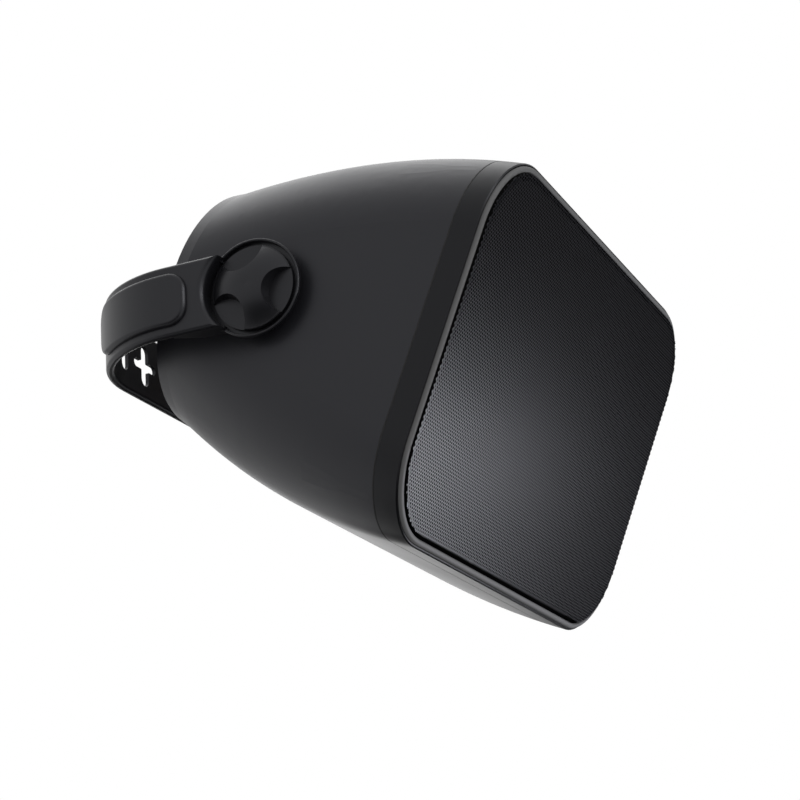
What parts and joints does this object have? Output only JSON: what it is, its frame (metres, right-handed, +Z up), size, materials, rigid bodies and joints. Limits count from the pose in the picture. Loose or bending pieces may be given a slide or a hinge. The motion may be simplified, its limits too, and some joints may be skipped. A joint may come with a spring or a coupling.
{
  "type": "wall loudspeaker",
  "caption": "Compact landscape two-way loudspeaker in a tapered moulded cabinet, hung in a wall yoke and tilted nose down, with grip knobs on the pivot and a fine perforated grille",
  "frame": {"origin": "middle of the yoke's wall face, between its screw slots", "axes": "X along the tilt pivot and the cabinet's length, +Y into the wall, +Z up; the front faces -Y"},
  "size_m": [0.2548, 0.1946, 0.1721],
  "materials": {
    "shell_plastic": "fine satin moulding",
    "frame_plastic": "fine satin moulding",
    "yoke_plastic": "satin moulding",
    "knob_plastic": "satin moulding",
    "grille_steel": "powder coated perforated sheet",
    "cloth": "black acoustic cloth",
    "foam": "closed cell foam",
    "soft_rubber": "matt",
    "cone_paper": "pressed pulp",
    "spider_cloth": "resin cloth",
    "silk": "coated silk",
    "basket_steel": "pressed steel, black",
    "motor_steel": "zinc plated",
    "ferrite": "sintered ferrite",
    "copper": "enamelled copper wire",
    "brass": "turned",
    "screw_steel": "black zinc",
    "inner_plastic": "moulded",
    "board": "glass laminate",
    "component": "coated film",
    "ceramic_block": "cement block",
    "red_plastic": "moulded",
    "black_plastic": "moulded",
    "wadding": "polyester wadding"
  },
  "bodies": {
    "yoke": {"yoke": "yoke_plastic"},
    "woofer_moving": {"woofer_cone": "cone_paper", "woofer_dust_cap": "cone_paper", "woofer_coil": "copper"},
    "left_knob": {"knob_left": "knob_plastic", "knob_stud_left": "screw_steel"},
    "right_knob": {"knob_right": "knob_plastic", "knob_stud_right": "screw_steel"},
    "cabinet": {"rear_shell": "shell_plastic", "front_frame": "frame_plastic", "seam_gasket": "foam", "grille": "grille_steel", "grille_cloth": "cloth", "frame_screws": "screw_steel", "woofer_basket": "basket_steel", "woofer_top_plate": "motor_steel", "woofer_magnet": "ferrite", "woofer_yoke": "motor_steel", "woofer_surround": "soft_rubber", "woofer_spider": "spider_cloth", "woofer_gasket": "foam", "woofer_screws": "screw_steel", "tweeter_plate": "inner_plastic", "tweeter_dome": "silk", "tweeter_top_plate": "motor_steel", "tweeter_magnet": "ferrite", "tweeter_yoke": "motor_steel", "tweeter_screws": "screw_steel", "bass_port": "inner_plastic", "terminal_cup": "inner_plastic", "terminal_posts": "brass", "terminal_cap_left": "black_plastic", "terminal_cap_right": "red_plastic", "terminal_screws": "screw_steel", "crossover_board": "board", "crossover_chokes": "inner_plastic", "crossover_windings": "copper", "crossover_capacitors": "component", "crossover_resistor": "ceramic_block", "board_screws": "screw_steel", "wadding": "wadding", "pivot_insert_left": "brass", "pivot_insert_right": "brass", "pivot_washer_left": "soft_rubber", "pivot_washer_right": "soft_rubber"}
  },
  "joints": [
    {"name": "tilt", "type": "hinge", "parent": "yoke", "child": "cabinet", "pos_m": [0, -0.0833, 0], "axis": [1, 0, 0], "range_deg": [-99, 51]},
    {"name": "left_knob_turn", "type": "hinge", "parent": "yoke", "child": "left_knob", "pos_m": [0, -0.0833, 0], "axis": [-1, 0, 0], "continuous": true},
    {"name": "right_knob_turn", "type": "hinge", "parent": "yoke", "child": "right_knob", "pos_m": [0, -0.0833, 0], "axis": [1, 0, 0], "continuous": true},
    {"name": "cone_travel", "type": "slide", "parent": "cabinet", "child": "woofer_moving", "axis": [0, -0.9135, -0.4067], "range_m": [-0.003, 0.003], "stiffness_N_per_m": 1500, "deforming": ["woofer_surround", "woofer_spider"]}
  ]
}
